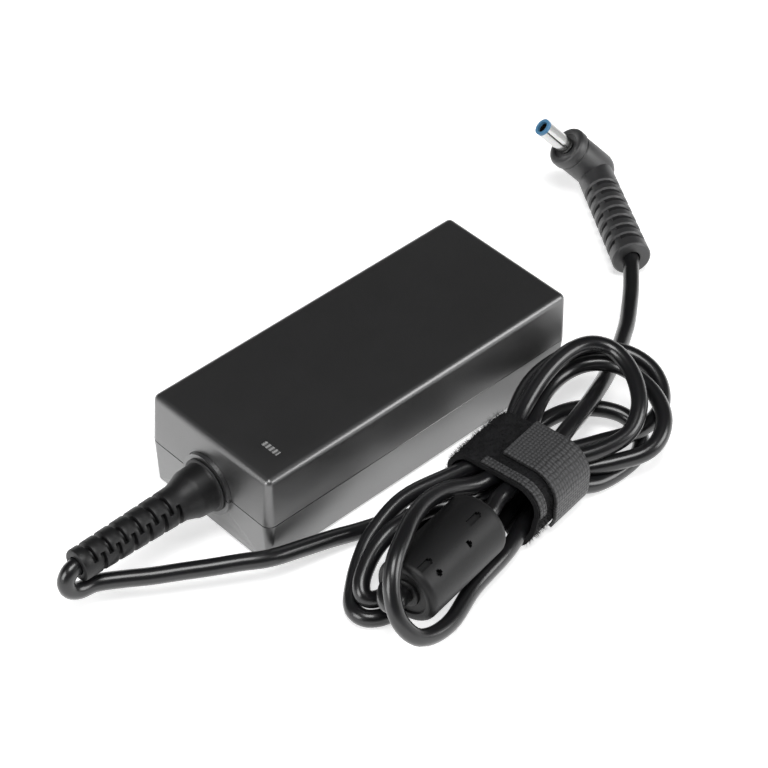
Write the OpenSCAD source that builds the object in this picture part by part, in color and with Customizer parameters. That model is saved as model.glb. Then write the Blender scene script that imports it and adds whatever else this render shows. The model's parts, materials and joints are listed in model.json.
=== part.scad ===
// Laptop power adapter: a slim brick with a captive DC cord folded into a hank, a
// moulded ferrite bead, a hook-and-loop cord tie and an angled barrel plug.
// The origin is the middle of the underside of the case. +X runs along the case to
// the mains inlet, the DC cord leaves at -X, and +Z is up. Sizes are in millimetres.

/* [Case] */
// Case length
case_l = 94.5; // [88:0.5:130]
// Case width
case_w = 40; // [38:0.5:40]
// Case height
case_h = 26.5; // [26:0.5:40]
// Height of the seam between the two shells
seam_z = 13.2; // [12.4:0.1:14]
// Shell wall thickness
wall_t = 2; // [1.6:0.1:2.3]
// Corner radius seen from above
corner_r = 2.2; // [2:0.1:4]
// Radius along the top edges
top_edge_r = 1.6; // [0.8:0.1:2]
// Radius along the bottom edges
foot_edge_r = 1; // [0.5:0.1:1.5]
// Draft of the upper shell on each side
upper_draft = 0.5; // [0:0.1:0.9]
// Draft of the lower shell on each side
lower_draft = 0.9; // [0:0.1:1.2]
// Width and depth of the seam groove
seam_groove = 0.3; // [0.2:0.05:0.5]
// Height of the locating lip inside the seam
lip_h = 1.2; // [0.8:0.1:2]
// Thickness of the locating lip
lip_t = 0.8; // [0.6:0.1:1]
// Clearance around plastic pieces that fit into each other
fit_gap = 0.1; // [0.05:0.05:0.2]

/* [Indicator] */
// Width of the indicator window along the case
window_w = 1.5; // [1:0.1:3]
// Length of the indicator window across the case
window_l = 5; // [3:0.5:8]
// Distance of the window from the cord end of the case
window_end = 8.6; // [7:0.1:12]
// Distance of the window from the case centre line
window_side = 11.3; // [9:0.1:13]

/* [Mains inlet] */
// Radius of each of the three socket lobes
lobe_r = 3.4; // [3.1:0.1:3.6]
// Spacing of the line and neutral contacts
contact_pitch = 10; // [9.6:0.1:11]
// Height of the earth contact above the other two
earth_rise = 6; // [5:0.1:6.4]
// Contact pin diameter
contact_d = 2.4; // [2:0.1:2.6]
// Socket depth
socket_depth = 14; // [12:0.5:16]
// Wall of the inlet housing
inlet_wall = 1.6; // [1.2:0.1:2]
// How far the contact tips stay inside the mouth
contact_recess = 2; // [1:0.5:4]

/* [Circuit] */
// Board thickness
board_t = 1.6; // [1.2:0.1:2]
// Thickness of the insulating sheet under the board
sheet_t = 0.4; // [0.2:0.1:0.6]
// Gap between the insulating sheet and the board
board_gap = 1.2; // [0.8:0.1:1.4]
// Bulk capacitor diameter
bulk_cap_d = 14; // [10:0.5:15]
// Bulk capacitor length
bulk_cap_l = 22; // [16:0.5:24]
// Output capacitor diameter
out_cap_d = 8; // [6:0.5:9]
// Output capacitor height
out_cap_h = 14; // [10:0.5:16]
// Transformer core height
core_h = 16; // [12:0.5:17]
// Common-mode choke outer diameter
choke_d = 15; // [12:0.5:16]

/* [Strain relief] */
// Length of the sleeve outside the case
boot_l = 37.5; // [30:0.5:45]
// Sleeve radius where it leaves the collar
boot_root_r = 5.7; // [5:0.1:6]
// Sleeve radius where the ribs start
boot_rib_r = 4.5; // [4.2:0.1:5]
// Sleeve radius at its tip
boot_tip_r = 3.8; // [3.1:0.1:4]
// Length of the smooth root
boot_smooth_l = 10; // [8:0.5:12]
// Number of rib grooves
boot_grooves = 12; // [5:1:14]
// Width of a rib groove
groove_w = 0.8; // [0.5:0.1:1.2]
// Sleeve thickness left over the cord in the grooves
groove_wall = 0.5; // [0.4:0.1:0.8]
// Width of the bridges left between the ribs
bridge_w = 2.2; // [1.5:0.1:3]
// Radius of the raised collar on the case
collar_r = 7.7; // [7:0.1:8.5]
// Height of the raised collar
collar_h = 0.8; // [0.5:0.1:1.5]
// Radius of the sleeve flange on the collar
flange_r = 6.6; // [6.2:0.1:6.8]
// Thickness of the sleeve flange on the collar
flange_t = 0.6; // [0.4:0.1:1]

/* [Cord] */
// Cord diameter
cord_d = 4; // [3.6:0.1:4.1]
// Gap between neighbouring strands inside the tie
strand_gap = 0.55; // [0.45:0.05:0.6]

/* [Ferrite bead] */
// Diameter of the moulded cover
bead_d = 15.8; // [15:0.1:16.4]
// Length of the moulded cover
bead_l = 27.4; // [27:0.1:30]
// Rounding of the cover's edges
bead_round = 1.6; // [0.8:0.1:2]
// Wall of the moulded cover
bead_wall = 1.5; // [1.2:0.1:2]
// Clearance around the cord inside the core
core_gap = 0.4; // [0.2:0.1:0.8]

/* [Cord tie] */
// Width of the inner wrap
wrap_w = 18; // [14:0.5:20]
// Thickness of the inner wrap
wrap_t = 1.2; // [0.8:0.1:1.2]
// Inside width of the wrap
wrap_in_w = 23; // [22:0.1:24]
// Inside height of the wrap
wrap_in_h = 13.8; // [13.7:0.1:15]
// Width of the free flap
flap_w = 12; // [8:0.5:14]
// Thickness of the free flap
flap_t = 1.1; // [0.8:0.1:1.4]
// Gap between the free flap and the wrap
flap_gap = 0.35; // [0.3:0.05:0.6]
// Turn of the tie on the table
tie_turn = 8; // [4:0.5:12]

/* [Plug] */
// Outside diameter of the barrel
barrel_d = 4.5; // [4.2:0.1:5.5]
// Inside diameter of the barrel
barrel_bore_d = 3; // [2.5:0.1:3.4]
// Length of the barrel
barrel_l = 9.5; // [8:0.5:12]
// Length of the coloured ring on the barrel's end
tip_ring_l = 0.8; // [0.5:0.1:1.5]
// Diameter of the centre contact
centre_d = 0.7; // [0.5:0.1:1]
// Diameter of the plug head
head_d = 10.2; // [9:0.1:10.6]
// Length of the plug head in front of the cord axis
head_l = 12.2; // [10:0.1:14]
// Diameter of the plug sleeve behind the head
neck_d = 8.8; // [8:0.1:9.6]
// Diameter of the plug sleeve at its end
sleeve_end_d = 10.6; // [9.6:0.1:10.8]
// Length of the plug sleeve that has no ribs
sleeve_smooth_l = 7.4; // [6.5:0.1:9]
// Number of grooves in the plug sleeve
sleeve_grooves = 8; // [5:1:9]
// Width of a groove in the plug sleeve
sleeve_groove_w = 1; // [0.6:0.1:1.4]

/* [Hidden] */
$fn = 36;
eps = 0.01;
far = 60;
half_l = case_l / 2;
half_w = case_w / 2;
cord_r = cord_d / 2;

// Heights inside the case.
floor_z = wall_t;
board_z = floor_z + sheet_t + board_gap;
deck_z = board_z + board_t;
ceiling_z = case_h - wall_t;

// Mains inlet: the line and neutral contacts lie on one height, the earth above.
inlet_h = 2 * lobe_r + earth_rise + 2 * inlet_wall;
inlet_w = contact_pitch + 2 * lobe_r + 2 * inlet_wall;
inlet_back_t = 2;
inlet_z = deck_z + inlet_wall + lobe_r;
socket_x = half_l - socket_depth;
inlet_x = socket_x - inlet_back_t;
tail_l = 3;

// Board outline and its supports.
board_end_gap = 1.2;
board_side_gap = 1;
post_r = 2.4;
screw_r = 0.8;
post_inset_x = 16;
post_inset_y = 7.5;
post_x = half_l - post_inset_x;
post_y = half_w - post_inset_y;
seat_x0 = -half_l + wall_t + lower_draft + board_end_gap;
seat_x1 = half_l - wall_t - lower_draft - board_end_gap;
seat_w = case_w - 2 * (wall_t + lower_draft + board_side_gap);

// Strain relief on the -X end, along the seam height.
boot_x = -half_l;
boot_core_r = cord_r + groove_wall;
boot_neck_r = 4.6;
boot_inner_r = 6;
boot_inner_t = 1.4;
boot_root_x = collar_h + flange_t;
boot_pitch = (boot_l - boot_smooth_l - 1.6) / boot_grooves;

// Where the cord meets the hank at the tie, across it and upwards in strand pitches: the
// lead low beside the case, the turn into the bead above it, the way out on top.
lead_spot = [1.5, 0];
turn_spot = [1, 1];
exit_spot = [-1, 2];
bed_gap = 0.2;
tie_x = 9;
tie_y = -41;
pitch = cord_d + strand_gap;
bed_z = wrap_t + bed_gap + cord_r;

// Bead: centre of its cord-lead end, direction of its axis, and height.
bead_at = [-37.6, -52.9, 12.2];
bead_turn = 9;
bead_u = [cos(bead_turn), sin(bead_turn), 0];

// Plug: the crossing of the head's axis and the cord's axis, resting on the table.
plug_at = [106.3, 25.3, 5.4];
plug_turn = 57;
plug_roll = 46.5;
plug_u = [cos(plug_turn), sin(plug_turn), 0];
sleeve_l = 36.3;

// Circuit blocks, in line from the cord's leads to the inlet. What the two capacitors
// leave of the length is shared out among the others and the gaps.
led_d = 3;
led_h = 4;
led_rim = 0.4;
led_top = deck_z + led_h;
fuse_d = 5.2;
fuse_l = 12;
fuse_cap_l = 2.5;
lead_r = 0.7;
lead_x = -half_l + wall_t + boot_inner_t;
lead_bend = 1;
row_x0 = lead_x + lead_bend + lead_r;
row_rest = inlet_x - row_x0 - out_cap_d - bulk_cap_l;
out_cap_x = row_x0 + 0.02 * row_rest + out_cap_d / 2;
core_x0 = row_x0 + out_cap_d + 0.04 * row_rest;
core_l = 0.415 * row_rest;
bulk_x0 = core_x0 + core_l + 0.03 * row_rest;
bulk_x1 = bulk_x0 + bulk_cap_l;
choke_x0 = bulk_x1 + 0.07 * row_rest;
choke_t = 0.15 * row_rest;
film_x0 = choke_x0 + choke_t + 0.04 * row_rest;
film_l = 0.155 * row_rest;
side_gap = 1.5;
side_y = half_w - wall_t - lower_draft - side_gap;
sink_t = 1.8;
sink_y = -side_y + sink_t;
package_w = 10;
package_t = 4.5;
mid_gap = 0.5;
core_y0 = sink_y + package_t + mid_gap;
core_y1 = post_y - screw_r - mid_gap;
core_plate = 3;
core_w = core_y1 - core_y0;
core_wall = core_w / 8;
core_leg_r = 1.4 * core_wall;
winding_gap = 0.3;
room_h = ceiling_z - deck_z;
opto_size = [4.6, 6.4, 3.5];

// Cord tie: corner of its section, and where the free flap starts and ends.
tie_corner_r = 5;
flap_x0 = -4.5;
flap_foot_z = 3;
flap_reach = 1.5;

// Barrel: how far its narrower shank reaches into the head, and its spring slit.
barrel_seat = 3;
shank_d = barrel_d - 0.8;
slit_turn = -161;
slit_w = 0.4;

// Bead's moulding marks, each by its turn about the axis and its place along it.
pin_hole_d = 1.6;
bead_pins = [[-138, 16], [-138, 5]];
bead_slots = [[-162, 21], [-162, 3.5]];
slot_l = 5;
slot_w = 2;

// Outline discs of the hank, each as [x, y, radius], and the heights of its layers: a
// low one under the bead, and two round the open middle at the inlet end.
cord_end_discs = [[-38, -43, 14], [-26, -50.5, 14.2], [0, -47.8, 6.6]];
inlet_end_discs = [[50, -34.5, 14.1], [34, -39.2, 16.4], [18, -40, 11]];
upper_discs = [[43.5, -37.2, 14.3], [30, -39.5, 13], [18, -40, 10.5]];
open_discs = [[49, -35.5, 4.5], [36, -37.8, 4]];
hank_foot = 0.2;
hank_low_z = 3.9;
hank_mid_z = 9.2;
hank_top_z = 14.6;
hank_gap = 0.3;
block_x = wrap_w / 2 + 2;

function unit(v) = v / norm(v);
function path_l(line, i = 1) =
    i < len(line) ? norm(line[i] - line[i - 1]) + path_l(line, i + 1) : 0;

// Place of a strand at the tie, x along the strands from the middle of the wrap.
function tie_spot(spot, x) =
    let (y = pitch * spot[0])
    [tie_x + x * cos(tie_turn) - y * sin(tie_turn),
     tie_y + x * sin(tie_turn) + y * cos(tie_turn), bed_z + pitch * spot[1]];

// The cord outside the hank: the lead, the turn into the bead, the way back to the tie,
// and the tail, which starts inside the hank's outer face.
sleeve_tip = [boot_x - boot_l, 0, seam_z];
lead_line = [sleeve_tip, sleeve_tip + [-0.8, 0, 0], sleeve_tip + [-2.4, -0.2, -0.6],
    sleeve_tip + [-3.5, -0.5, -2.4], sleeve_tip + [-3, -0.9, -4.6],
    sleeve_tip + [-0.8, -1.3, -6], [-81.4, -1.8, 6.8],
    [-76.3, -4.6, 6.6], [-71.2, -8.3, 6.8], [-65.7, -11.8, 7], [-60.1, -15.3, 7.1],
    [-54.5, -18.6, 7.2], [-48.5, -21.8, 6.8], [-40.5, -23.3, 5.4], [-32.7, -24.6, 4],
    [-26, -26, 2.7],
    [-18, -28.3, 2.2], [-10, -33, 3], tie_spot(lead_spot, -block_x - cord_d),
    tie_spot(lead_spot, -block_x)];
turn_line = [tie_spot(turn_spot, -block_x), tie_spot(turn_spot, -block_x - cord_d),
    [-12, -38.8, 7.4], [-21.8, -38.6, 7.2], [-31.1, -39.6, 7.6], [-39.5, -41.7, 8.7],
    [-44, -44.8, 8.6], [-45, -48.5, 9.2], [-44.2, -51.3, 11], bead_at - cord_d * bead_u,
    bead_at];
bead_end = bead_at + bead_l * bead_u;
plug_end = plug_at - sleeve_l * plug_u;
exit_line = [bead_end, bead_end + cord_d * bead_u, tie_spot(exit_spot, -block_x - cord_d),
    tie_spot(exit_spot, -block_x)];
tail_line = [[61.5, -29.1, 2.2], [65, -27.4, 2.2], [69, -25.4, 2.1], [76, -19, 2.3],
    [80.5, -13.5, 3.4], [83.6, -9.2, 4.8], plug_end - cord_d * plug_u, plug_end];

echo(str("cord outside the hank = ", path_l(lead_line) + path_l(turn_line) + bead_l
    + path_l(exit_line) + path_l(tail_line), " mm"));

// Rectangle with rounded corners in the XY plane, centred.
module plate(l, w, r) {
    square([l - 2 * r, w], center = true);
    square([l, w - 2 * r], center = true);
    for (x = [-1, 1], y = [-1, 1])
        translate([x * (l / 2 - r), y * (w / 2 - r)]) circle(r = r);
}

// Half of the case: full size at the seam, drafted and rounded towards its far side.
// A cut one passes the seam by a hair, so that it opens the shell there.
module half_body(l, w, r, draft, edge, end_z, over) {
    up = end_z > seam_z ? 1 : -1;
    hull() {
        translate([0, 0, seam_z - (up > 0 ? over : eps)])
            linear_extrude(eps + over) plate(l, w, r, $fn = 32);
        for (x = [-1, 1], y = [-1, 1])
            translate([x * (l / 2 - draft - edge), y * (w / 2 - draft - edge), end_z - up * edge])
                rotate_extrude($fn = 32)
                    polygon([for (a = [-90 : 15 : 90]) edge * [cos(a), sin(a)]]);
    }
}

module shell(draft, edge, outer_z, inner_z) {
    difference() {
        half_body(case_l, case_w, corner_r, draft, edge, outer_z, 0);
        half_body(case_l - 2 * wall_t, case_w - 2 * wall_t, max(corner_r - wall_t, 0.4), draft,
            0.5, inner_z, eps);
    }
}

// Band of the wall around the seam, between two insets from the outer face.
module seam_band(inset0, inset1, h) {
    linear_extrude(h) difference() {
        plate(case_l - 2 * inset0, case_w - 2 * inset0, max(corner_r - inset0, 0.4));
        plate(case_l - 2 * inset1, case_w - 2 * inset1, max(corner_r - inset1, 0.4));
    }
}

module inlet_hole(gap) {
    translate([inlet_x - gap, -inlet_w / 2 - gap, deck_z - gap])
        cube([half_l - inlet_x + far, inlet_w + 2 * gap, inlet_h + 2 * gap]);
}

// Cylinder along -X on the cord outlet's axis, from x0 outwards.
module outlet_rod(r, x0, l) {
    translate([x0, 0, seam_z]) rotate([0, -90, 0]) cylinder(r = r, h = l);
}

module upper_case() {
    color("#2b2b2d") difference() {
        shell(upper_draft, top_edge_r, case_h, ceiling_z);
        translate([0, 0, seam_z - eps])
            seam_band(wall_t - lip_t - fit_gap, wall_t + 1, lip_h + fit_gap);
        inlet_hole(fit_gap);
        outlet_rod(collar_r + fit_gap, -half_l + wall_t + 1, wall_t + 4);
        translate([-half_l + window_end, -window_side, case_h])
            cube([window_w + 2 * fit_gap, window_l + 2 * fit_gap, 4 * wall_t], center = true);
    }
}

module lower_case() {
    color("#3a3a3d") difference() {
        union() {
            shell(lower_draft, foot_edge_r, 0, floor_z);
            translate([0, 0, seam_z - lip_t])
                seam_band(wall_t - lip_t, wall_t, lip_h + lip_t);
            outlet_rod(collar_r, -half_l + wall_t, wall_t + collar_h);
            for (x = [-1, 1], y = [-1, 1]) translate([x * post_x, y * post_y, floor_z - eps]) {
                cylinder(r = post_r, h = board_z - floor_z + eps);
                cylinder(r = screw_r, h = deck_z - floor_z + 0.6);
            }
        }
        translate([0, 0, seam_z - seam_groove]) seam_band(-1, seam_groove, seam_groove + eps);
        inlet_hole(fit_gap);
        outlet_rod(boot_neck_r, -half_l + wall_t + 1, wall_t + 4);
        outlet_rod(boot_inner_r + fit_gap, -half_l + wall_t + 2, 2);
    }
}

module indicator_window() {
    x = -half_l + window_end;
    color("#c9c9c4") {
        translate([x - window_w / 2, -window_side - window_l / 2, led_top])
            cube([window_w, window_l, case_h - led_top]);
        translate([x - window_w / 2 - 1, -window_side - window_l / 2 - 1, ceiling_z - 1])
            cube([window_w + 2, window_l + 2, 1]);
    }
}

module status_led() {
    color("#dfe8df") translate([-half_l + window_end, -window_side, deck_z]) {
        cylinder(d = led_d, h = led_h - led_d / 2);
        translate([0, 0, led_h - led_d / 2]) sphere(d = led_d, $fn = 24);
        cylinder(d = led_d + 2 * led_rim, h = 1);
    }
}

module circuit_board() {
    color("#2e5a3a") difference() {
        translate([seat_x0, -seat_w / 2, board_z]) cube([seat_x1 - seat_x0, seat_w, board_t]);
        for (x = [-1, 1], y = [-1, 1]) translate([x * post_x, y * post_y, 0])
            cylinder(r = screw_r + fit_gap, h = case_h);
    }
}

module insulating_sheet() {
    color("#d8d2b8") difference() {
        translate([seat_x0, -seat_w / 2, floor_z]) cube([seat_x1 - seat_x0, seat_w, sheet_t]);
        for (x = [-1, 1], y = [-1, 1]) translate([x * post_x, y * post_y, 0])
            cylinder(r = post_r + fit_gap, h = case_h);
    }
}

// Rod along +X inside the inlet, at a contact's place.
module inlet_rod(y, z, r, x0, x1) {
    translate([x0, y, z]) rotate([0, 90, 0]) cylinder(r = r, h = x1 - x0);
}

module inlet_housing() {
    spots = [[-contact_pitch / 2, inlet_z], [contact_pitch / 2, inlet_z],
        [0, inlet_z + earth_rise]];
    color("#1d1d1f") difference() {
        translate([inlet_x, -inlet_w / 2, deck_z]) cube([half_l - inlet_x, inlet_w, inlet_h]);
        for (p = spots) {
            inlet_rod(p[0], p[1], lobe_r, socket_x, half_l + 1);
            inlet_rod(p[0], p[1], contact_d / 2, inlet_x - 1, socket_x + 1);
        }
        translate([socket_x, -contact_pitch / 2, inlet_z - lobe_r])
            cube([socket_depth + 1, contact_pitch, 2 * lobe_r]);
        translate([socket_x, -lobe_r, inlet_z]) cube([socket_depth + 1, 2 * lobe_r, earth_rise]);
    }
}

module contact(y, z) {
    tip = half_l - contact_recess;
    color("#b9bcc0") {
        inlet_rod(y, z, contact_d / 2, inlet_x - tail_l, tip - 0.5);
        translate([tip - 0.5, y, z]) rotate([0, 90, 0])
            cylinder(r1 = contact_d / 2, r2 = contact_d / 2 - 0.5, h = 0.5);
    }
}
module line_contact() { contact(-contact_pitch / 2, inlet_z); }
module neutral_contact() { contact(contact_pitch / 2, inlet_z); }
module earth_contact() { contact(0, inlet_z + earth_rise); }

// Block standing on the board from two corners.
module on_board(x0, x1, y0, y1, h) {
    translate([x0, y0, deck_z]) cube([x1 - x0, y1 - y0, h]);
}

module fuse() {
    color("#b7c3c6") translate([film_x0 + film_l / 2, -side_y + mid_gap, deck_z + fuse_d / 2])
        rotate([-90, 0, 0]) {
            cylinder(d = fuse_d - 0.4, h = fuse_l);
            cylinder(d = fuse_d, h = fuse_cap_l);
            translate([0, 0, fuse_l - fuse_cap_l]) cylinder(d = fuse_d, h = fuse_cap_l);
        }
}

module suppression_capacitor() {
    color("#8a6f2a") on_board(film_x0, film_x0 + film_l, mid_gap, side_y - mid_gap, 0.62 * room_h);
}

module line_filter_choke() {
    color("#4a3b30") translate([choke_x0, mid_gap + choke_d / 2, deck_z + choke_d / 2])
        rotate([0, 90, 0]) difference() {
            cylinder(d = choke_d, h = choke_t);
            translate([0, 0, -1]) cylinder(d = 0.44 * choke_d, h = choke_t + 2);
        }
}

module bridge_rectifier() {
    color("#2a2a2a") on_board(choke_x0, choke_x0 + package_t, -side_y, -2 * mid_gap, 0.52 * room_h);
}

module bulk_capacitor() {
    color("#26344f") translate([bulk_x0, mid_gap + bulk_cap_d / 2, deck_z + bulk_cap_d / 2])
        rotate([0, 90, 0]) cylinder(d = bulk_cap_d, h = bulk_cap_l);
}

module primary_heat_sink() {
    color("#9a9da1") on_board(bulk_x0 + mid_gap, bulk_x1, -side_y, sink_y, 0.88 * room_h);
}

module switching_transistor() {
    color("#232323") on_board(bulk_x1 - 1.6 * package_w, bulk_x1 - 0.6 * package_w, sink_y,
        sink_y + package_t, 0.78 * room_h);
}

module optocoupler() {
    color("#e4e4e0") translate([bulk_x1 - opto_size[0] - package_w, -mid_gap - opto_size[1], deck_z])
        cube(opto_size);
}

module transformer_core() {
    color("#3c3c40") translate([core_x0, core_y0, deck_z]) difference() {
        cube([core_l, core_w, core_h]);
        translate([-1, core_wall, core_plate]) difference() {
            cube([core_l + 2, core_w - 2 * core_wall, core_h - 2 * core_plate]);
            translate([1 + core_l / 2, core_w / 2 - core_wall, -1])
                cylinder(r = core_leg_r, h = core_h);
        }
    }
}

module transformer_winding() {
    color("#b2722f") translate([core_x0 + core_l / 2, core_y0 + core_w / 2, deck_z + core_plate])
        difference() {
            cylinder(r = core_w / 2 - core_wall - winding_gap, h = core_h - 2 * core_plate);
            translate([0, 0, -1]) cylinder(r = core_leg_r + fit_gap, h = core_h);
        }
}

module secondary_heat_sink() {
    color("#9a9da1") on_board(core_x0, core_x0 + core_l, -side_y, sink_y, 0.84 * room_h);
}

module output_rectifier() {
    color("#232323") on_board(core_x0 + (core_l - package_w) / 2,
        core_x0 + (core_l + package_w) / 2, sink_y, sink_y + package_t, 0.78 * room_h);
}

module output_capacitors() {
    for (i = [0, 1]) color("#2b3a55")
        translate([out_cap_x, out_cap_d / 4 + i * (out_cap_d + 2 * mid_gap), deck_z])
            cylinder(d = out_cap_d, h = out_cap_h);
}

module output_leads() {
    for (y = [-1, 1]) color(y > 0 ? "#c8c8c8" : "#b03a30") translate([lead_x, 2 * y * lead_r, 0]) {
        translate([0, 0, seam_z]) rotate([0, 90, 0]) cylinder(r = lead_r, h = lead_bend);
        translate([lead_bend, 0, seam_z]) sphere(r = lead_r, $fn = 16);
        translate([lead_bend, 0, deck_z]) cylinder(r = lead_r, h = seam_z - deck_z);
    }
}

// Grooves across a sleeve along +Z, leaving two bridges in each one.
module grooves(count, z0, step, w, core, turn) {
    for (i = [0 : count - 1]) translate([0, 0, z0 + i * step]) difference() {
        cylinder(r = head_d, h = w);
        translate([0, 0, -1]) cylinder(r = core, h = w + 2);
        rotate([0, 0, turn * i]) translate([-far, -bridge_w / 2, -1])
            cube([2 * far, bridge_w, w + 2]);
    }
}

module strain_relief() {
    color("#1b1b1c") translate([boot_x, 0, seam_z]) rotate([0, -90, 0]) difference() {
        rotate_extrude() polygon([[0, -wall_t - boot_inner_t],
            [boot_inner_r, -wall_t - boot_inner_t], [boot_inner_r, -wall_t],
            [boot_neck_r, -wall_t], [boot_neck_r, collar_h], [flange_r, collar_h],
            [flange_r, boot_root_x - 0.2], [flange_r - 0.2, boot_root_x],
            [boot_root_r, boot_root_x], [boot_root_r - 0.4, boot_smooth_l * 0.6],
            [boot_rib_r, boot_smooth_l], [boot_tip_r, boot_l - 0.4],
            [boot_tip_r - 0.4, boot_l], [0, boot_l]]);
        grooves(boot_grooves, boot_smooth_l, boot_pitch, groove_w, boot_core_r, 90);
    }
}

// Tube along a line of ring centres, its ends flat and square to its end runs.
module cord_run(line, sides) {
    n = len(line);
    rings = [for (i = [0 : n - 1])
        let (t = unit(line[min(i + 1, n - 1)] - line[max(i - 1, 0)]),
            a = unit(cross([0, 0, 1], t)), b = cross(t, a))
        for (k = [0 : sides - 1])
            line[i] + cord_r * (cos(360 * k / sides) * a + sin(360 * k / sides) * b)];
    color("#161617") polyhedron(rings, [
        [for (k = [0 : sides - 1]) k],
        for (i = [0 : n - 2], k = [0 : sides - 1]) let (m = (k + 1) % sides)
            each [[i * sides + k, (i + 1) * sides + m, i * sides + m],
                [i * sides + k, (i + 1) * sides + k, (i + 1) * sides + m]],
        [for (k = [sides - 1 : -1 : 0]) (n - 1) * sides + k]]);
}
module cord_lead() { cord_run(lead_line, 8); }
module cord_bead_turn() { cord_run(turn_line, 8); }
module cord_bead_exit() { cord_run(exit_line, 8); }
module cord_tail() { cord_run(tail_line, 8); }

module layer(discs, z0, z1) {
    translate([0, 0, z0]) linear_extrude(z1 - z0) hull()
        for (d = discs) translate([d[0], d[1]]) circle(r = d[2]);
}

// Closed solid of the folded cord: its outer shape, drawn in through the tie.
module cord_hank() {
    color("#161617") {
        at_tie() translate([-block_x, 0, 0]) rotate([90, 0, 90])
            linear_extrude(2 * block_x) tie_section(-hank_gap);
        intersection() {
            layer(cord_end_discs, hank_foot, hank_low_z);
            at_tie() translate([-2 * far - wrap_w / 2 - hank_gap, -far, 0]) cube(2 * far);
        }
        intersection() {
            difference() {
                union() {
                    layer(inlet_end_discs, hank_foot, hank_mid_z);
                    layer(upper_discs, hank_mid_z - eps, hank_top_z);
                }
                layer(open_discs, -1, hank_top_z + 1);
            }
            at_tie() translate([wrap_w / 2 + hank_gap, -far, 0]) cube(2 * far);
        }
    }
}

// Frame of the bead: +Z along its axis from the lead end to the tail end.
module along_bead() {
    translate(bead_at) rotate([0, 0, bead_turn]) rotate([0, 90, 0]) children();
}

module cord_in_bead() {
    color("#161617") along_bead() cylinder(r = cord_r, h = bead_l);
}

module ferrite_core() {
    color("#55565a") along_bead() translate([0, 0, bead_wall]) difference() {
        cylinder(d = bead_d - 2 * bead_wall, h = bead_l - 2 * bead_wall);
        translate([0, 0, -1]) cylinder(r = cord_r + core_gap, h = bead_l);
    }
}

module ferrite_cover() {
    r = bead_d / 2;
    arc = [for (a = [0 : 15 : 90]) [sin(a), 1 - cos(a)] * bead_round];
    color("#18181a") along_bead() difference() {
        rotate_extrude() polygon([[0, 0],
            for (p = arc) [r - bead_round + p[0], p[1]],
            for (i = [len(arc) - 1 : -1 : 0]) [r - bead_round + arc[i][0], bead_l - arc[i][1]],
            [0, bead_l]]);
        translate([0, 0, bead_wall]) cylinder(r = r - bead_wall, h = bead_l - 2 * bead_wall);
        translate([0, 0, -1]) cylinder(r = cord_r, h = bead_l + 2);
        translate([0, 0, -eps]) difference() {
            cylinder(r = r - 2.4, h = 0.7);
            translate([0, 0, -1]) cylinder(r = cord_r + 1.4, h = 3);
        }
        for (p = bead_pins) rotate([0, 0, p[0]]) translate([0, 0, p[1]]) rotate([0, 90, 0])
            cylinder(d = pin_hole_d, h = bead_d);
        for (p = bead_slots) rotate([0, 0, p[0]]) translate([0, 0, p[1]])
            rotate([0, 90, 0]) linear_extrude(bead_d) plate(slot_l, slot_w, slot_w / 2 - 0.1);
    }
}

// Frame of the tie: +X along the strands, +Z up from the table.
module at_tie() {
    translate([tie_x, tie_y, 0]) rotate([0, 0, tie_turn]) children();
}

// Section of the tie, grown outwards from the inside of the wrap.
module tie_section(grow) {
    translate([0, wrap_t + wrap_in_h / 2])
        plate(wrap_in_w + 2 * grow, wrap_in_h + 2 * grow, tie_corner_r + grow);
}

module tie_wrap() {
    color("#1f1f21") at_tie() translate([-wrap_w / 2, 0, 0]) rotate([90, 0, 90])
        linear_extrude(wrap_w) difference() {
            tie_section(wrap_t);
            tie_section(0);
        }
}

module tie_flap() {
    color("#4a4a4e") at_tie() translate([flap_x0, 0, 0]) rotate([90, 0, 90])
        linear_extrude(flap_w) intersection() {
            difference() {
                tie_section(wrap_t + flap_gap + flap_t);
                tie_section(wrap_t + flap_gap);
            }
            translate([-far, flap_foot_z]) square([far + flap_reach, far]);
        }
}

// Frame of the plug: +X away from the cord, +Y turned up along the barrel.
module at_plug() {
    translate(plug_at) rotate([0, 0, plug_turn]) children();
}
module at_head() {
    at_plug() rotate([plug_roll, 0, 0]) rotate([-90, 0, 0]) children();
}

module plug_grip() {
    r = head_d / 2;
    color("#19191a") difference() {
        union() {
            at_head() {
                sphere(r = r);
                cylinder(r = r, h = head_l - 2.4);
                translate([0, 0, head_l - 2.4]) cylinder(r = r + 0.25, h = 1.8);
                translate([0, 0, head_l - 0.6]) cylinder(r1 = r + 0.25, r2 = r - 0.2, h = 0.6);
            }
            at_plug() rotate([0, -90, 0]) difference() {
                rotate_extrude() polygon([[0, 0], [neck_d / 2, 0], [neck_d / 2, sleeve_smooth_l],
                    [sleeve_end_d / 2, sleeve_l - 0.4], [sleeve_end_d / 2 - 0.4, sleeve_l],
                    [0, sleeve_l]]);
                grooves(sleeve_grooves, sleeve_smooth_l, (sleeve_l - sleeve_smooth_l - 2)
                    / sleeve_grooves, sleeve_groove_w, cord_r + 1.1, 0);
            }
        }
        at_head() translate([0, 0, head_l - barrel_seat]) {
            cylinder(d = shank_d, h = barrel_seat + 1);
            translate([0, 0, barrel_seat - 0.5]) cylinder(d = barrel_d + 2.4, h = 1);
        }
    }
}

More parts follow.
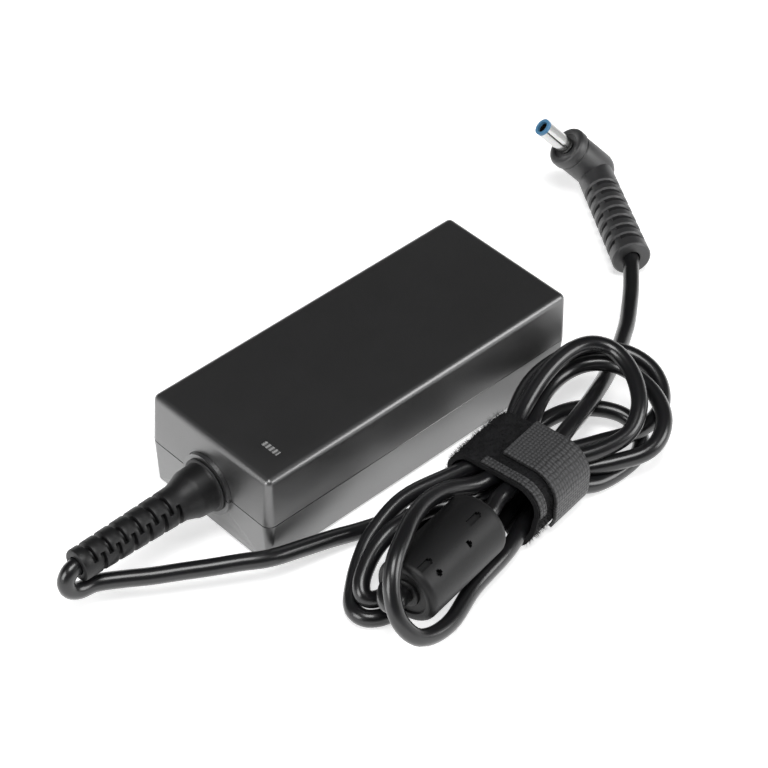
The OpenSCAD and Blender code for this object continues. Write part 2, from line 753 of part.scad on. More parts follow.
module plug_barrel() {
    color("#c3c6ca") at_head() translate([0, 0, head_l]) difference() {
        union() {
            cylinder(d = barrel_d, h = barrel_l - tip_ring_l);
            translate([0, 0, -barrel_seat]) cylinder(d = shank_d, h = barrel_seat + 1);
        }
        translate([0, 0, -barrel_seat - 1])
            cylinder(d = barrel_bore_d, h = barrel_seat + barrel_l + 2);
        rotate([0, 0, slit_turn]) translate([barrel_d / 2 - 0.25, -slit_w / 2, slit_w])
            cube([1, slit_w, barrel_l - tip_ring_l - 3 * slit_w]);
    }
}

module plug_ring() {
    color("#3f7fc4") at_head() translate([0, 0, head_l + barrel_l - tip_ring_l]) difference() {
        cylinder(d = barrel_d, h = tip_ring_l);
        translate([0, 0, -1]) cylinder(d = barrel_bore_d, h = tip_ring_l + 2);
    }
}

module plug_insulator() {
    color("#101011") at_head() translate([0, 0, head_l - barrel_seat]) difference() {
        cylinder(d = barrel_bore_d, h = barrel_seat + 0.8);
        translate([0, 0, 1]) cylinder(d = centre_d, h = barrel_seat + 1);
    }
}

module plug_centre_contact() {
    color("#c9b26a") at_head() translate([0, 0, head_l - barrel_seat + 1])
        cylinder(d = centre_d, h = barrel_seat - 1 + barrel_l - 1.2);
}

upper_case();
lower_case();
indicator_window();
status_led();
circuit_board();
insulating_sheet();
inlet_housing();
line_contact();
neutral_contact();
earth_contact();
fuse();
line_filter_choke();
suppression_capacitor();
bridge_rectifier();
bulk_capacitor();
switching_transistor();
primary_heat_sink();
transformer_core();
transformer_winding();
optocoupler();
output_rectifier();
secondary_heat_sink();
output_capacitors();
output_leads();
strain_relief();
cord_lead();
cord_hank();
cord_bead_turn();
cord_in_bead();
cord_bead_exit();
cord_tail();
ferrite_cover();
ferrite_core();
tie_wrap();
tie_flap();
plug_grip();
plug_barrel();
plug_ring();
plug_insulator();
plug_centre_contact();
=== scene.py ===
import json
import math
import random

import bpy
from mathutils import Matrix, Vector, noise

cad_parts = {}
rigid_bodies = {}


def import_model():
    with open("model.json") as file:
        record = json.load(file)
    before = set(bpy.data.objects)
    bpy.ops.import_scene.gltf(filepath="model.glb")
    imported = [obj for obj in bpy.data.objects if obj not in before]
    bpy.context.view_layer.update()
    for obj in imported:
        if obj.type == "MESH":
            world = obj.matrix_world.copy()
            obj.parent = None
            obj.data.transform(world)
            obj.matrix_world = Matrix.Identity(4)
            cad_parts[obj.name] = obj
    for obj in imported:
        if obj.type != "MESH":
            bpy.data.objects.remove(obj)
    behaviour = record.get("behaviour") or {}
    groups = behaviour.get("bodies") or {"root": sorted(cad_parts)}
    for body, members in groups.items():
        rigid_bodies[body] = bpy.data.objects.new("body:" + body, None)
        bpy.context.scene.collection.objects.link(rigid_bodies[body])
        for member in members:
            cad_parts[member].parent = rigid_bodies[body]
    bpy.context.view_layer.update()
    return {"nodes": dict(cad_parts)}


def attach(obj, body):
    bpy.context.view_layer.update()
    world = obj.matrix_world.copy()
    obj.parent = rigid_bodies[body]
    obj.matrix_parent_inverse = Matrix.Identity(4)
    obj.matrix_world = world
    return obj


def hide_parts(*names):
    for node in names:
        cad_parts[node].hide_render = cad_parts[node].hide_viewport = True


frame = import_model()
mm = 0.001
print("frame: %d nodes" % len(frame["nodes"]))

camera = {
    "place": (-0.32291, -0.33189, 0.44368),
    "turnDegrees": (47.12, -1.267, -43.637),
    "lens": 128.11,
    "sensor": 36.0,
}


def addCamera(c):
    bpy.ops.object.camera_add(location=c["place"],
                              rotation=[math.radians(a) for a in c["turnDegrees"]])
    cam = bpy.context.object
    cam.name = "camera"
    cam.data.lens = c["lens"]
    cam.data.sensor_width = c["sensor"]
    cam.data.clip_start = 0.01
    cam.data.clip_end = 20
    bpy.context.scene.camera = cam


addCamera(camera)
print("camera placed")

# the cord's centre line from the sleeve to the plug, in mm; a separate fitting script made
# the points from inletBend1 to beadTurn, one of lead and six of tail
cord = {
    "diameter": 0.004,
    "sleeveTip": (-84.75, 0, 13.2),
    "order": ["lead", "inletBend1", "cordBend1", "inletBend2", "cordBend2", "inletBend3",
              "cordBend3", "inletBend4", "beadTurn", "beadExit", "tail"],
    "lead": [
        (-82.2, 0, 13.2), (-84.75, 0, 13.2), (-85.55, 0, 13.2), (-87.15, -0.2, 12.6),
        (-88.25, -0.5, 10.8), (-87.75, -0.9, 8.6), (-85.55, -1.3, 7.2), (-81.4, -1.8, 6.8),
        (-76.3, -4.6, 6.6), (-71.2, -8.3, 6.8), (-65.7, -11.8, 7), (-60.1, -15.3, 7.1),
        (-54.5, -18.6, 7.2), (-48.5, -21.8, 6.8), (-40.5, -23.3, 5.4), (-32.7, -24.6, 4),
        (-26, -26, 2.7), (-18, -28.3, 2.2), (-8, -33.4, 3.1), (1, -34.2, 3.4), (5, -34.2, 3.4),
        (9, -34.2, 3.4),
    ],
    "inletBend1": [
        (19.2, -32, 4.4), (28.7, -31.1, 5.1), (36.6, -32.8, 5.2), (42.3, -37, 4.7),
        (45.2, -42.3, 3.9), (44.3, -47.4, 2.6), (39.8, -51.1, 2.1), (32.8, -52.2, 2),
        (25.1, -51.6, 2.4), (18.4, -49.1, 3.9), (13.2, -48, 3.6), (9, -47.8, 3.4),
    ],
    "cordBend1": [
        (-6.1, -53.7, 4.3), (-20.3, -56.9, 4.5), (-31.9, -61, 4.8), (-40.7, -61.2, 7.3),
        (-44.1, -58.4, 12.3), (-43.3, -54.8, 17.7), (-39.6, -51.3, 21.5), (-33.7, -47.9, 22.5),
        (-27, -44.2, 21.7), (-19.9, -41.4, 19.8), (-12, -40, 17), (-2.9, -40.9, 13.5),
        (9, -41, 12.5),
    ],
    "inletBend2": [
        (19.3, -34.9, 11.1), (29, -29.2, 10.5), (37.8, -26.8, 10.6), (44.9, -28.2, 11.3),
        (49.5, -32.9, 11.8), (50.8, -40.1, 11.4), (49.1, -47.9, 10.8), (44.6, -53.8, 9.7),
        (37.8, -55.9, 7.9), (29.9, -52.1, 6.3), (20.5, -45.6, 4.4), (9, -43.3, 3.4),
    ],
    "cordBend2": [
        (-4.2, -47.1, 2.9), (-16.5, -50.6, 2.1), (-33.6, -49, 2), (-39.4, -47.9, 2),
        (-42.4, -45.3, 2), (-42.2, -41.7, 2.2), (-38.8, -38.3, 3.4), (-33.4, -34.7, 5.3),
        (-27.4, -32.2, 7.4), (-16.7, -30.9, 10.3), (-4.4, -33.6, 11.6), (9, -36.4, 12.5),
    ],
    "inletBend3": [
        (19.6, -31.5, 13.4), (30, -28.1, 15.8), (39, -27, 17.3), (45.6, -28.3, 17.4),
        (49.1, -32.1, 16.5), (49, -37.5, 15.3), (46.3, -43.3, 14.2), (42, -48.1, 12.7),
        (36.1, -50.6, 10.6), (28.6, -49.3, 9.3), (19.2, -45, 8.5), (9, -41, 8),
    ],
    "cordBend3": [
        (-3.1, -40.6, 9.3), (-14.6, -37.8, 11.4), (-25, -36.9, 11.5), (-30.9, -37.4, 9.9),
        (-35.8, -39.1, 8.3), (-39.3, -41.3, 6.7), (-40.1, -43.5, 5.2), (-37.1, -44.9, 4.1),
        (-26.9, -46.2, 3.5), (-16.7, -45.4, 3.1), (-4.3, -42.4, 3.2), (9, -38.7, 3.4),
    ],
    "inletBend4": [
        (21, -40.5, 5.4), (31.7, -44.9, 6.1), (41, -48.5, 6.3), (48.8, -48.4, 6.8),
        (54.2, -44.8, 8), (56.7, -38.9, 9.9), (55.3, -32, 11.2), (50, -26, 11.6),
        (41.6, -23, 11.5), (31.2, -23.8, 11), (20.1, -29, 9.9), (9, -36.4, 8),
    ],
    "beadTurn": [
        (5, -36.5, 8), (1, -36.5, 8), (-3.7, -36.4, 7.8), (-8.9, -36.6, 7.3), (-14.1, -37.5, 7),
        (-19.4, -38.9, 7.2), (-24.6, -40.8, 7.7), (-29.4, -43, 8.4), (-33.8, -45.3, 9.2),
        (-37.5, -47.6, 10.1), (-40.3, -49.9, 10.9), (-41.8, -52, 11.6), (-41.6, -53.5, 12.2),
        (-37.6, -52.9, 12.2),
    ],
    "beadExit": [
        (-10.5, -48.6, 12.2), (-6.6, -48, 12.2), (-2, -46.4, 12.4),
    ],
    "tail": [
        (9, -45.5, 12.5), (15, -44.2, 12.4), (20.6, -42.5, 11.9), (26.1, -40.7, 11.3),
        (31.5, -38.9, 10.5), (36.9, -37, 9.6), (42.3, -34.8, 8.7), (47.9, -32.2, 7.4),
        (54.1, -28.9, 5.6), (59.8, -25.8, 4.1), (65.2, -22.5, 3.3), (70.6, -19.1, 2.9),
        (75.6, -15.3, 3.2), (80, -11.7, 4.1), (83.5, -8.4, 5.1), (86.8, -5.3, 5.4),
        (87.6, -4, 5.4),
    ],
}


def layCord(c):
    route = [Vector(p) * mm for name in c["order"] for p in c[name]]
    curve = bpy.data.curves.new("dcCord", "CURVE")
    curve.dimensions = "3D"
    curve.resolution_u = 6
    curve.render_resolution_u = 6
    curve.bevel_depth = c["diameter"] / 2
    curve.bevel_resolution = 6
    curve.use_fill_caps = True
    spline = curve.splines.new("BEZIER")
    spline.bezier_points.add(len(route) - 1)
    for i, (point, place) in enumerate(zip(spline.bezier_points, route)):
        before, after = route[max(i - 1, 0)], route[min(i + 1, len(route) - 1)]
        run = (after - before).normalized()
        point.co = place
        point.handle_left_type = point.handle_right_type = "FREE"
        point.handle_left = place - run * (place - before).length / 3
        point.handle_right = place + run * (after - place).length / 3
    piece = bpy.data.objects.new("dcCord", curve)
    bpy.context.scene.collection.objects.link(piece)
    length = sum((b - a).length for a, b in zip(route, route[1:]))
    return piece, length


dcCord, cordLength = layCord(cord)
print("cord laid, %.3f m" % cordLength)


def deselectAll():
    for o in bpy.context.view_layer.objects:
        o.select_set(False)


def makeActive(piece):
    deselectAll()
    piece.select_set(True)
    bpy.context.view_layer.objects.active = piece


def applyModifiers(piece):
    makeActive(piece)
    for modifier in list(piece.modifiers):
        bpy.ops.object.modifier_apply(modifier=modifier.name)


def settle(piece):
    makeActive(piece)
    bpy.ops.object.transform_apply(location=True, rotation=True, scale=True)


def soften(piece, width, angle=40, segments=2):
    m = piece.modifiers.new("soften", "BEVEL")
    m.width = width * mm
    m.segments = segments
    m.limit_method = "ANGLE"
    m.angle_limit = math.radians(angle)
    applyModifiers(piece)


def smooth(piece, angle):
    makeActive(piece)
    bpy.ops.object.shade_smooth_by_angle(angle=math.radians(angle))


# a CAD node's mesh, merged and with its flat faces joined
def mergedCopy(node, name):
    source = frame["nodes"][node]
    piece = bpy.data.objects.new(name, source.data.copy())
    bpy.context.scene.collection.objects.link(piece)
    piece.data.materials.clear()
    makeActive(piece)
    bpy.ops.object.mode_set(mode="EDIT")
    bpy.ops.mesh.select_all(action="SELECT")
    bpy.ops.mesh.remove_doubles(threshold=0.000002)
    bpy.ops.mesh.dissolve_limited(angle_limit=math.radians(0.5))
    bpy.ops.object.mode_set(mode="OBJECT")
    smooth(piece, 32)
    return piece


# rows of (along the axis, radius) spun round the X axis
def turned(name, profile, steps):
    mesh = bpy.data.meshes.new(name)
    mesh.from_pydata([(a * mm, r * mm, 0) for a, r in profile],
                     [(i, i + 1) for i in range(len(profile) - 1)], [])
    piece = bpy.data.objects.new(name, mesh)
    bpy.context.scene.collection.objects.link(piece)
    makeActive(piece)
    bpy.ops.object.mode_set(mode="EDIT")
    bpy.ops.mesh.select_all(action="SELECT")
    bpy.ops.mesh.spin(steps=steps, angle=math.tau, center=(0, 0, 0), axis=(1, 0, 0))
    bpy.ops.mesh.select_all(action="SELECT")
    bpy.ops.mesh.remove_doubles(threshold=0.000001)
    bpy.ops.mesh.normals_make_consistent(inside=False)
    bpy.ops.object.mode_set(mode="OBJECT")
    return piece


# push the faces that test() picks, by place along and turn about the axis, into the piece
def press(piece, depth, test):
    makeActive(piece)
    bpy.ops.object.mode_set(mode="EDIT")
    bpy.ops.mesh.select_mode(type="FACE")
    bpy.ops.mesh.select_all(action="DESELECT")
    bpy.ops.object.mode_set(mode="OBJECT")
    picked = 0
    for face in piece.data.polygons:
        c = face.center / mm
        out = Vector((0, c.y, c.z)).normalized()
        if abs(face.normal.x) < 0.5 and face.normal.dot(out) > 0.5:
            face.select = test(c.x, math.degrees(math.atan2(c.y, c.z)), c.yz.length)
            picked += face.select
    bpy.ops.object.mode_set(mode="EDIT")
    if picked:
        bpy.ops.mesh.extrude_region_shrink_fatten(
            TRANSFORM_OT_shrink_fatten={"value": -depth * mm})
    bpy.ops.object.mode_set(mode="OBJECT")


def within(turn, middle, half):
    return abs((turn - middle + 180) % 360 - 180) < half


def joined(name, pieces):
    makeActive(pieces[0])
    for p in pieces[1:]:
        p.select_set(True)
    bpy.ops.object.join()
    piece = bpy.context.object
    piece.name = name
    return piece


def finishPiece(piece, material, body, slotName, *nodes):
    piece.data.materials.clear()
    piece.data.materials.append(material)
    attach(piece, body)
    if nodes:
        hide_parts(*nodes)


def newGroup(name, inputs, outputs):
    group = bpy.data.node_groups.new(name, "ShaderNodeTree")
    for label, kind, value in inputs:
        s = group.interface.new_socket(label, in_out="INPUT", socket_type=kind)
        s.default_value = value
    for label, kind in outputs:
        group.interface.new_socket(label, in_out="OUTPUT", socket_type=kind)
    return group, group.nodes.new("NodeGroupInput"), group.nodes.new("NodeGroupOutput")


# fine moulded grain, for every plastic and rubber part
def mouldedGrain():
    group, ins, outs = newGroup(
        "mouldedGrain",
        [("Grain size", "NodeSocketFloat", 3000.0), ("Depth", "NodeSocketFloat", 0.2),
         ("Base", "NodeSocketColor", (0.03, 0.03, 0.03, 1)), ("Roughness", "NodeSocketFloat", 0.5),
         ("Variation", "NodeSocketFloat", 0.1)],
        [("Color", "NodeSocketColor"), ("Roughness", "NodeSocketFloat"),
         ("Normal", "NodeSocketVector")])
    n, l = group.nodes, group.links
    place = n.new("ShaderNodeTexCoord")
    fine = n.new("ShaderNodeTexNoise")
    fine.inputs["Detail"].default_value = 3
    l.new(place.outputs["Object"], fine.inputs["Vector"])
    l.new(ins.outputs["Grain size"], fine.inputs["Scale"])
    broad = n.new("ShaderNodeTexNoise")
    broad.inputs["Scale"].default_value = 90
    broad.inputs["Detail"].default_value = 4
    l.new(place.outputs["Object"], broad.inputs["Vector"])
    bump = n.new("ShaderNodeBump")
    bump.inputs["Distance"].default_value = 0.0001
    l.new(fine.outputs["Fac"], bump.inputs["Height"])
    l.new(ins.outputs["Depth"], bump.inputs["Strength"])
    shift = n.new("ShaderNodeMath")
    shift.operation = "MULTIPLY_ADD"
    centre = n.new("ShaderNodeMath")
    centre.operation = "SUBTRACT"
    centre.inputs[1].default_value = 0.5
    l.new(broad.outputs["Fac"], centre.inputs[0])
    l.new(centre.outputs[0], shift.inputs[0])
    l.new(ins.outputs["Variation"], shift.inputs[1])
    l.new(ins.outputs["Roughness"], shift.inputs[2])
    tone = n.new("ShaderNodeMix")
    tone.data_type = "RGBA"
    tone.blend_type = "MULTIPLY"
    tone.inputs["Factor"].default_value = 0.35
    l.new(ins.outputs["Base"], tone.inputs["A"])
    l.new(fine.outputs["Color"], tone.inputs["B"])
    l.new(tone.outputs["Result"], outs.inputs["Color"])
    l.new(shift.outputs[0], outs.inputs["Roughness"])
    l.new(bump.outputs["Normal"], outs.inputs["Normal"])
    return group


grainGroup = mouldedGrain()


# plain weave on the piece's own UV map, which is in metres; its darker colour in the low hollows
# between threads is painted shade
def wovenTape():
    group, ins, outs = newGroup(
        "wovenTape",
        [("Thread", "NodeSocketFloat", 0.0013), ("Light", "NodeSocketColor", (0.06, 0.06, 0.06, 1)),
         ("Hollow shade", "NodeSocketColor", (0.01, 0.01, 0.01, 1))],
        [("Color", "NodeSocketColor"), ("Height", "NodeSocketFloat"),
         ("Normal", "NodeSocketVector")])
    n, l = group.nodes, group.links

    def math2(operation, a, b=None):
        node = n.new("ShaderNodeMath")
        node.operation = operation
        for slot, value in zip(node.inputs, (a, b)):
            if isinstance(value, (int, float)):
                slot.default_value = value
            elif value is not None:
                l.new(value, slot)
        return node.outputs[0]

    uv = n.new("ShaderNodeUVMap")
    sway = n.new("ShaderNodeTexNoise")
    sway.inputs["Scale"].default_value = 260
    sway.inputs["Detail"].default_value = 2
    l.new(uv.outputs["UV"], sway.inputs["Vector"])
    parts = n.new("ShaderNodeSeparateXYZ")
    l.new(uv.outputs["UV"], parts.inputs["Vector"])
    drift = math2("MULTIPLY", math2("SUBTRACT", sway.outputs["Fac"], 0.5), 0.9)
    across = math2("ADD", math2("DIVIDE", parts.outputs["X"], ins.outputs["Thread"]), drift)
    along = math2("ADD", math2("DIVIDE", parts.outputs["Y"], ins.outputs["Thread"]), drift)
    warp = math2("ABSOLUTE", math2("SINE", math2("MULTIPLY", across, math.pi)))
    weft = math2("ABSOLUTE", math2("SINE", math2("MULTIPLY", along, math.pi)))
    checks = n.new("ShaderNodeTexChecker")
    checks.inputs["Scale"].default_value = 1
    checks.inputs["Color1"].default_value = (1, 1, 1, 1)
    checks.inputs["Color2"].default_value = (0, 0, 0, 1)
    both = n.new("ShaderNodeCombineXYZ")
    l.new(across, both.inputs["X"])
    l.new(along, both.inputs["Y"])
    both.inputs["Z"].default_value = 0.5
    l.new(both.outputs["Vector"], checks.inputs["Vector"])
    over = n.new("ShaderNodeMix")
    over.data_type = "FLOAT"
    l.new(checks.outputs["Fac"], over.inputs["Factor"])
    l.new(math2("MULTIPLY", warp, 0.7), over.inputs["A"])
    l.new(weft, over.inputs["B"])
    fibre = n.new("ShaderNodeTexNoise")
    fibre.inputs["Scale"].default_value = 6000
    fibre.inputs["Detail"].default_value = 3
    l.new(uv.outputs["UV"], fibre.inputs["Vector"])
    height = math2("ADD", math2("MULTIPLY", math2("MULTIPLY", warp, weft), 0.6),
                   math2("MULTIPLY", over.outputs["Result"], 0.4))
    rough = math2("ADD", height, math2("MULTIPLY", fibre.outputs["Fac"], 0.35))
    # painted shade: the low hollows of the weave take the dark colour and the raised threads the
    # light one, with random fibre tone on top
    mix = n.new("ShaderNodeMix")
    mix.data_type = "RGBA"
    l.new(math2("SUBTRACT", rough, 0.12), mix.inputs["Factor"])
    l.new(ins.outputs["Hollow shade"], mix.inputs["A"])
    l.new(ins.outputs["Light"], mix.inputs["B"])
    bump = n.new("ShaderNodeBump")
    bump.inputs["Distance"].default_value = 0.0002
    bump.inputs["Strength"].default_value = 0.9
    l.new(rough, bump.inputs["Height"])
    l.new(mix.outputs["Result"], outs.inputs["Color"])
    l.new(rough, outs.inputs["Height"])
    l.new(bump.outputs["Normal"], outs.inputs["Normal"])
    return group


weaveGroup = wovenTape()


def newMaterial(name):
    material = bpy.data.materials.new(name)
    material.use_nodes = True
    return material, material.node_tree.nodes, material.node_tree.links


def moulded(name, base, rough, grain=3000, depth=0.2, variation=0.1, specular=0.5, coat=0,
            coatRough=0.2, coatIor=1.5):
    material, n, l = newMaterial(name)
    shader = n["Principled BSDF"]
    g = n.new("ShaderNodeGroup")
    g.node_tree = grainGroup
    g.inputs["Grain size"].default_value = grain
    g.inputs["Depth"].default_value = depth
    g.inputs["Base"].default_value = (*base, 1)
    g.inputs["Roughness"].default_value = rough
    g.inputs["Variation"].default_value = variation
    l.new(g.outputs["Color"], shader.inputs["Base Color"])
    l.new(g.outputs["Roughness"], shader.inputs["Roughness"])
    l.new(g.outputs["Normal"], shader.inputs["Normal"])
    shader.inputs["Specular IOR Level"].default_value = specular
    shader.inputs["Coat Weight"].default_value = coat
    shader.inputs["Coat Roughness"].default_value = coatRough
    shader.inputs["Coat IOR"].default_value = coatIor
    return material


def metal(name, base, rough):
    material = moulded(name, base, rough, grain=4000, depth=0.03, variation=0.08)
    material.node_tree.nodes["Principled BSDF"].inputs["Metallic"].default_value = 1
    return material


# woven tape whose second colour is painted shade in the weave's hollows
def woven(name, light, shadeColour, thread):
    material, n, l = newMaterial(name)
    shader = n["Principled BSDF"]
    g = n.new("ShaderNodeGroup")
    g.node_tree = weaveGroup
    g.inputs["Thread"].default_value = thread
    g.inputs["Light"].default_value = (*light, 1)
    g.inputs["Hollow shade"].default_value = (*shadeColour, 1)
    l.new(g.outputs["Color"], shader.inputs["Base Color"])
    l.new(g.outputs["Normal"], shader.inputs["Normal"])
    shader.inputs["Roughness"].default_value = 0.5
    shader.inputs["Specular IOR Level"].default_value = 0.5
    shader.inputs["Sheen Weight"].default_value = 0.1
    return material


# the light pipe on the case top: fluted clear plastic, its colour painted in light and dark bands
# along the flutes: painted highlights on the crests and painted shade between them
def fluted(name, light, shadeColour, pitch):
    material, n, l = newMaterial(name)
    shader = n["Principled BSDF"]
    place = n.new("ShaderNodeTexCoord")
    wave = n.new("ShaderNodeTexWave")
    wave.bands_direction = "Y"
    wave.inputs["Scale"].default_value = math.tau / (20 * pitch)
    wave.inputs["Distortion"].default_value = 0.6
    wave.inputs["Detail Scale"].default_value = 600
    l.new(place.outputs["Object"], wave.inputs["Vector"])
    mix = n.new("ShaderNodeMix")
    mix.data_type = "RGBA"
    mix.inputs["A"].default_value = (*shadeColour, 1)
    mix.inputs["B"].default_value = (*light, 1)
    l.new(wave.outputs["Fac"], mix.inputs["Factor"])
    bump = n.new("ShaderNodeBump")
    bump.inputs["Distance"].default_value = 0.0002
    bump.inputs["Strength"].default_value = 0.6
    l.new(wave.outputs["Fac"], bump.inputs["Height"])
    l.new(mix.outputs["Result"], shader.inputs["Base Color"])
    l.new(bump.outputs["Normal"], shader.inputs["Normal"])
    shader.inputs["Roughness"].default_value = 0.35
    return material


finishes = {
    # one case plastic in two tones: the top shell's copy is painted darker and the base shell's
    # lighter, painted shade and painted light for how each half is lit
    "caseTop": moulded("casePlasticTop", (0.009, 0.009, 0.0095), 0.45, grain=3200, depth=0.5,
                       specular=0.7, coat=1, coatRough=0.34, coatIor=1.9),
    "caseBase": moulded("casePlasticBase", (0.014, 0.014, 0.015), 0.45, grain=3200, depth=0.35,
                        specular=0.8, coat=1, coatRough=0.34, coatIor=1.8),
    "sleeve": moulded("sleeveRubber", (0.009, 0.009, 0.0095), 0.45, grain=2500, depth=0.35,
                      variation=0.15, specular=0.4),
    "grip": moulded("gripRubber", (0.028, 0.028, 0.029), 0.5, grain=2200, depth=0.5,
                    variation=0.15, coat=0.6, coatRough=0.45, coatIor=1.6),
    "cord": moulded("cordVinyl", (0.01, 0.01, 0.011), 0.3, grain=900, depth=0.1,
                    variation=0.12, coat=0.35, coatRough=0.16),
    "bead": moulded("beadVinyl", (0.009, 0.009, 0.0095), 0.5, grain=2500, depth=0.3,
                    variation=0.15, specular=0.3, coat=0.1, coatRough=0.4),
    "pile": moulded("pileNylon", (0.012, 0.012, 0.013), 0.8, grain=1800, depth=1,
                    specular=0.25),
    # the tapes' dark colour is painted shade in the weave's hollows
    "tape": woven("hookTape", (0.055, 0.055, 0.058), (0.004, 0.004, 0.004), 0.0009),
    "hem": woven("hemTape", (0.06, 0.06, 0.063), (0.004, 0.004, 0.004), 0.0009),
    # painted highlights and painted shade in bands along the window's flutes
    "window": fluted("windowPlastic", (0.3, 0.3, 0.3), (0.05, 0.05, 0.05), 0.0011),
    "inlet": moulded("inletPlastic", (0.015, 0.015, 0.016), 0.4),
    "board": moulded("boardGreen", (0.05, 0.18, 0.09), 0.35, grain=1500, depth=0.1),
    "card": moulded("sheetCard", (0.6, 0.56, 0.44), 0.8, grain=1200, depth=0.3),
    "chip": moulded("chipPlastic", (0.03, 0.03, 0.03), 0.5),
    "can": moulded("canSleeve", (0.05, 0.08, 0.16), 0.3),
    "film": moulded("filmBox", (0.5, 0.36, 0.07), 0.35),
    "ferrite": moulded("ferriteGrey", (0.07, 0.07, 0.075), 0.6),
    "opto": moulded("optoWhite", (0.75, 0.75, 0.72), 0.5),
    "led": moulded("ledLens", (0.75, 0.8, 0.75), 0.15),
    "wire": moulded("leadWire", (0.5, 0.08, 0.06), 0.35),
    "glassTube": moulded("fuseTube", (0.65, 0.7, 0.72), 0.15),
    "nickel": metal("nickelPlate", (0.75, 0.75, 0.74), 0.18),
    "goldPlate": metal("contactPlate", (0.75, 0.58, 0.3), 0.22),
    "aluminium": metal("sinkAluminium", (0.62, 0.63, 0.65), 0.4),
    "copper": metal("windingCopper", (0.6, 0.3, 0.13), 0.35),
    "blueRing": moulded("ringBlue", (0.1, 0.29, 0.5), 0.3, depth=0.05),
}
print("finishes made")

carriedOver = {
    "indicator_window": "window", "status_led": "led", "circuit_board": "board",
    "insulating_sheet": "card", "inlet_housing": "inlet", "line_contact": "nickel",
    "neutral_contact": "nickel", "earth_contact": "nickel", "fuse": "glassTube",
    "line_filter_choke": "copper", "suppression_capacitor": "film", "bridge_rectifier": "chip",
    "bulk_capacitor": "can", "switching_transistor": "chip", "primary_heat_sink": "aluminium",
    "transformer_core": "ferrite", "transformer_winding": "copper", "optocoupler": "opto",
    "output_rectifier": "chip", "secondary_heat_sink": "aluminium", "output_capacitors": "can",
    "output_leads": "wire", "ferrite_core": "ferrite", "plug_insulator": "inlet",
    "plug_centre_contact": "goldPlate", "plug_ring": "blueRing", "plug_barrel": "nickel",
}
for node, finish in carriedOver.items():
    mesh = frame["nodes"][node].data
    mesh.materials.clear()
    mesh.materials.append(finishes[finish])

finishPiece(mergedCopy("upper_case", "caseTop"), finishes["caseTop"], "adapter", "case_shell",
            "upper_case")
finishPiece(mergedCopy("lower_case", "caseBase"), finishes["caseBase"], "adapter", "case_base",
            "lower_case")
print("case finished")

cordSleeve = {
    "root": (-47.25, 0, 13.2),
    # along the sleeve from the case wall, radius
    "profile": [(-1.5, 2.2), (-1.5, 4.5), (0.8, 4.55), (0.8, 6.5), (0.95, 6.6), (1.25, 6.6),
                (1.4, 6.45), (1.45, 5.95), (2.2, 5.9), (5.4, 5.75), (6.1, 5.6), (6.6, 5.35),
                (8.6, 4.65), (9.4, 4.45)],
    "ribStart": 10.9, "ribStep": 2.1, "ribs": 12, "slot": 1.1, "ribRadius": 4.4, "tipRadius": 3.85,
    "length": 37.6, "slotDepth": 1.35, "zigzagTurn": 54, "slotHalf": 100,
    "lip": 0.5, "lipMiddle": 0.15, "bore": 2.2, "boreDepth": 1.5, "boreEnd": 1.9, "around": 96,
    "edge": 0.16,
}


def makeSleeve(s):
    rows = list(s["profile"])
    end = s["ribStart"] + s["ribs"] * s["ribStep"]
    slope = (s["tipRadius"] - s["ribRadius"]) / (end - s["ribStart"])
    for i in range(s["ribs"]):
        a = s["ribStart"] + i * s["ribStep"]
        for step in (0, s["slot"]):
            rows.append((a + step, s["ribRadius"] + slope * (a + step - s["ribStart"])))
    tip = s["tipRadius"]
    rows += [(s["length"] - s["lip"], tip), (s["length"] - s["lipMiddle"], tip - s["lipMiddle"]),
             (s["length"], tip - s["lip"]), (s["length"], s["bore"]),
             (s["length"] - s["boreDepth"], s["boreEnd"])]
    piece = turned("cordSleeve", rows, s["around"])

    def inSlot(a, turn, r):
        k = (a - s["ribStart"]) / s["ribStep"]
        i = int(k)
        if k < 0 or i >= s["ribs"] or (k - i) * s["ribStep"] > s["slot"]:
            return False
        side = 90 if i % 2 == 0 else -90
        return within(turn, s["zigzagTurn"] + side, s["slotHalf"])

    press(piece, s["slotDepth"], inSlot)
    piece.data.transform(Matrix.Translation(Vector(s["root"]) * mm)
                         @ Matrix.Rotation(math.pi, 4, "Z"))
    soften(piece, s["edge"], 50)
    smooth(piece, 40)
    return piece


finishPiece(makeSleeve(cordSleeve), finishes["sleeve"], "adapter", "sleeve", "strain_relief")
print("sleeve made")

plugGrip = {
    "cross": (106.3, 25.3, 5.4),
    "turn": 57, "roll": 46.5,
    "sleeveTurn": 58.7, "sleeveFrom": (105.9, 25.7, 5.4),
    "headProfile": [(-4.3, 0), (-4.25, 1.8), (-3.9, 3.0), (-3.1, 4.0), (-2.0, 4.7), (-0.8, 5.05),
                    (0.6, 5.1), (8.9, 5.1), (9.1, 4.75), (9.5, 4.7), (9.65, 5.2), (9.9, 5.45),
                    (11.5, 5.45), (12.0, 5.2), (12.2, 4.9), (12.2, 3.7), (12.05, 3.5),
                    (11.7, 3.45), (11.7, 2.2), (11.2, 2.1), (11.2, 0)],
    "neckProfile": [(-3.4, 0), (-3.4, 3.6), (-2.8, 4.3), (-2.0, 4.55), (0, 4.6), (8.6, 4.7)],
    "grooveStart": 9.9, "grooveStep": 3.62, "grooves": 7, "groove": 1.2, "ribRound": 0.4,
    "neckRadius": 4.7, "endRadius": 4.95, "length": 36.3, "grooveDepth": 1.7,
    "bridgeTurn": -39, "bridgeHalf": 11,
    "lip": 0.4, "bore": 2.2, "boreDepth": 1, "boreEnd": 1.9, "around": 72,
    "headEdge": 0.12, "sleeveEdge": 0.14,
}


